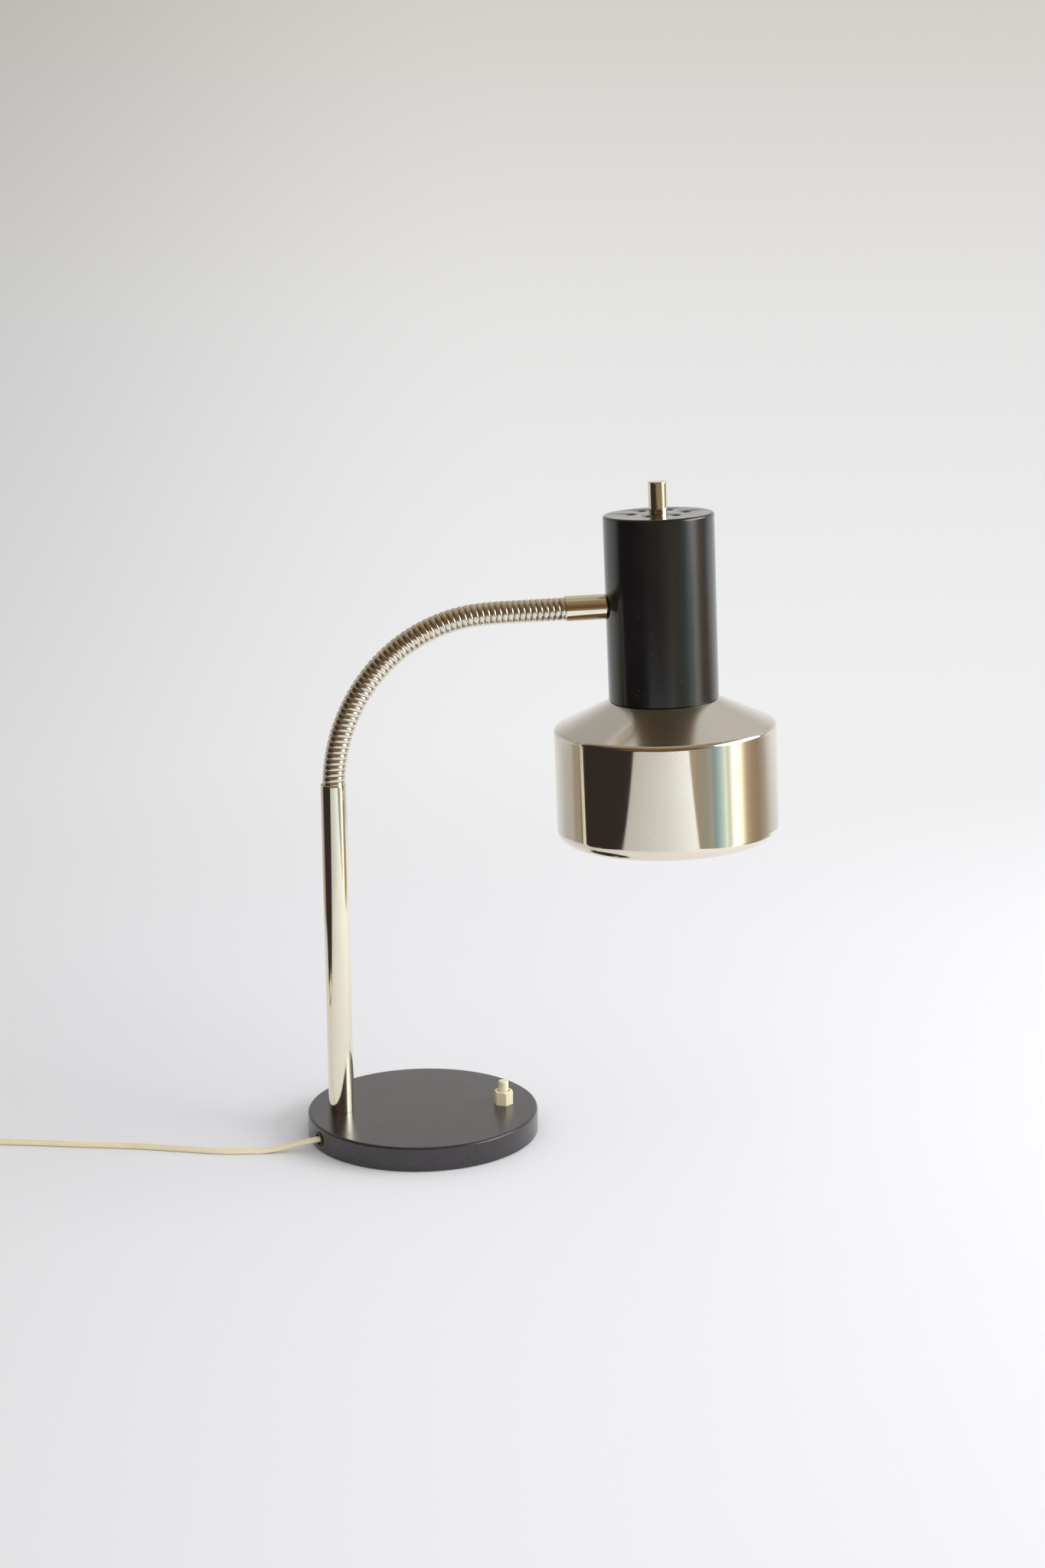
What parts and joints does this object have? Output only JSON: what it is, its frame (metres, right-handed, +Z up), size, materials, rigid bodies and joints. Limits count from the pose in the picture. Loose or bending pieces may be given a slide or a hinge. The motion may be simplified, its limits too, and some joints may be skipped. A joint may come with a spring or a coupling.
{
  "type": "gooseneck desk lamp",
  "caption": "Desk lamp with a round weighted base, push switch, chromed upright, flexible wound neck and a swivelling head with a black housing and polished drum shade.",
  "frame": {"origin": "on the table at the centre of the round base's underside", "axes": "+Z up, +X from the base towards the head, +Y away from the viewer who sees the upright on the left"},
  "size_m": [0.6045, 0.199, 0.4216],
  "materials": {
    "black_lacquer": "satin dark lacquer on pressed steel",
    "housing_black": "satin black enamel",
    "chrome": "polished chrome plate",
    "neck_steel": "bright nickel-plated wound steel",
    "shade_nickel": "nickel plate, polished drum and satin cone",
    "iron": "rough casting",
    "zinc_steel": "zinc-plated",
    "brass": "turned",
    "felt": "dark felt",
    "bakelite": "dark moulded resin",
    "ceramic": "unglazed ceramic look",
    "ivory": "smooth moulded",
    "cord_ivory": "soft satin sheath",
    "bush_rubber": "brown rubber",
    "tie_black": "coated wire",
    "opal_glass": "opal white",
    "cap_metal": "rolled thread"
  },
  "bodies": {
    "base": {"base_cover": "black_lacquer", "base_weight": "iron", "base_plate": "zinc_steel", "base_felt": "felt", "plate_screws": "zinc_steel", "upright_tube": "chrome", "tube_foot_plug": "brass", "tube_washer": "zinc_steel", "tube_nut": "zinc_steel", "neck_socket": "brass", "cord_bush": "bush_rubber", "cord_clamp": "ivory", "clamp_screws": "zinc_steel", "terminal_block": "ivory", "inner_leads": "cord_ivory", "switch_body": "ivory", "switch_bush": "ivory", "switch_nut": "ivory", "switch_tags": "brass", "button_spring": "zinc_steel", "neck_cable": "cord_ivory", "supply_cord": "cord_ivory", "cord_coil": "cord_ivory", "coil_tie": "tie_black", "plug_body": "ivory", "plug_pins": "zinc_steel"},
    "neck_01": {"neck_link_01": "neck_steel"},
    "neck_02": {"neck_link_02": "neck_steel"},
    "neck_03": {"neck_link_03": "neck_steel"},
    "neck_04": {"neck_link_04": "neck_steel"},
    "neck_05": {"neck_link_05": "neck_steel"},
    "neck_06": {"neck_link_06": "neck_steel"},
    "neck_07": {"neck_link_07": "neck_steel"},
    "neck_08": {"neck_link_08": "neck_steel"},
    "neck_09": {"neck_link_09": "neck_steel"},
    "neck_10": {"neck_link_10": "neck_steel"},
    "neck_11": {"neck_link_11": "neck_steel"},
    "neck_12": {"neck_link_12": "neck_steel"},
    "neck_13": {"neck_link_13": "neck_steel"},
    "neck_end": {"neck_link_14": "neck_steel", "neck_sleeve": "chrome", "side_stem": "brass", "side_washer": "zinc_steel", "side_nut": "zinc_steel"},
    "head": {"socket_housing": "housing_black", "handle": "chrome", "handle_nut": "zinc_steel", "holder_strap": "zinc_steel", "head_lead": "cord_ivory", "holder_cap": "bakelite", "holder_skirt": "bakelite", "holder_insert": "ceramic", "screw_shell": "brass", "centre_contact": "brass", "shade": "shade_nickel", "shade_ring": "bakelite", "bulb_glass": "opal_glass", "bulb_cap": "cap_metal"},
    "button": {"switch_button": "ivory"}
  },
  "joints": [
    {"name": "neck_bend", "type": "hinge", "parent": "base", "child": "neck_01", "pos_m": [-0.053, 0, 0.235], "axis": [0, 1, 0], "range_deg": [-8, 5], "deforming": ["neck_cable"]},
    {"name": "neck_bend_02", "type": "hinge", "parent": "neck_01", "child": "neck_02", "pos_m": [-0.05145, 0, 0.24972], "axis": [0, 1, 0], "range_deg": [-8, 5]},
    {"name": "neck_side", "type": "hinge", "parent": "neck_02", "child": "neck_03", "pos_m": [-0.04802, 0, 0.26412], "axis": [0.9558, 0, -0.294], "range_deg": [-10, 10]},
    {"name": "neck_bend_03", "type": "hinge", "parent": "neck_03", "child": "neck_04", "pos_m": [-0.04277, 0, 0.27795], "axis": [0, 1, 0], "range_deg": [-8, 5]},
    {"name": "neck_bend_04", "type": "hinge", "parent": "neck_04", "child": "neck_05", "pos_m": [-0.03577, 0, 0.291], "axis": [0, 1, 0], "range_deg": [-8, 5]},
    {"name": "neck_side_02", "type": "hinge", "parent": "neck_05", "child": "neck_06", "pos_m": [-0.02716, 0, 0.30303], "axis": [0.7738, 0, -0.6334], "range_deg": [-10, 10]},
    {"name": "neck_bend_05", "type": "hinge", "parent": "neck_06", "child": "neck_07", "pos_m": [-0.01707, 0, 0.31385], "axis": [0, 1, 0], "range_deg": [-8, 5]},
    {"name": "neck_bend_06", "type": "hinge", "parent": "neck_07", "child": "neck_08", "pos_m": [-0.0055, 0, 0.32309], "axis": [0, 1, 0], "range_deg": [-8, 5]},
    {"name": "neck_side_03", "type": "hinge", "parent": "neck_08", "child": "neck_09", "pos_m": [0.00729, 0, 0.33053], "axis": [0.4384, 0, -0.8988], "range_deg": [-10, 10]},
    {"name": "neck_bend_07", "type": "hinge", "parent": "neck_09", "child": "neck_10", "pos_m": [0.02104, 0, 0.33603], "axis": [0, 1, 0], "range_deg": [-8, 5]},
    {"name": "neck_bend_08", "type": "hinge", "parent": "neck_10", "child": "neck_11", "pos_m": [0.03543, 0, 0.33946], "axis": [0, 1, 0], "range_deg": [-8, 5]},
    {"name": "neck_side_04", "type": "hinge", "parent": "neck_11", "child": "neck_12", "pos_m": [0.05017, 0, 0.34075], "axis": [0.061, 0, -0.9981], "range_deg": [-10, 10]},
    {"name": "neck_bend_09", "type": "hinge", "parent": "neck_12", "child": "neck_13", "pos_m": [0.06497, 0, 0.34126], "axis": [0, 1, 0], "range_deg": [-8, 5]},
    {"name": "neck_bend_10", "type": "hinge", "parent": "neck_13", "child": "neck_end", "pos_m": [0.07976, 0, 0.34178], "axis": [0, 1, 0], "range_deg": [-8, 5]},
    {"name": "head_swivel", "type": "hinge", "parent": "neck_end", "child": "head", "pos_m": [0.15581, 0, 0.34444], "axis": [0.9994, 0, 0.0349], "range_deg": [-60, 60]},
    {"name": "button_press", "type": "slide", "parent": "base", "child": "button", "axis": [0, 0, -1], "range_m": [0, 0.003], "stiffness_N_per_m": 600, "springref_m": -0.002, "deforming": ["button_spring"]}
  ],
  "couplings": [
    {"joint": "neck_bend_02", "follows": "neck_bend", "ratio": 1},
    {"joint": "neck_bend_03", "follows": "neck_bend", "ratio": 1},
    {"joint": "neck_bend_04", "follows": "neck_bend", "ratio": 1},
    {"joint": "neck_side_02", "follows": "neck_side", "ratio": 1},
    {"joint": "neck_bend_05", "follows": "neck_bend", "ratio": 1},
    {"joint": "neck_bend_06", "follows": "neck_bend", "ratio": 1},
    {"joint": "neck_side_03", "follows": "neck_side", "ratio": 1},
    {"joint": "neck_bend_07", "follows": "neck_bend", "ratio": 1},
    {"joint": "neck_bend_08", "follows": "neck_bend", "ratio": 1},
    {"joint": "neck_side_04", "follows": "neck_side", "ratio": 1},
    {"joint": "neck_bend_09", "follows": "neck_bend", "ratio": 1},
    {"joint": "neck_bend_10", "follows": "neck_bend", "ratio": 1}
  ]
}
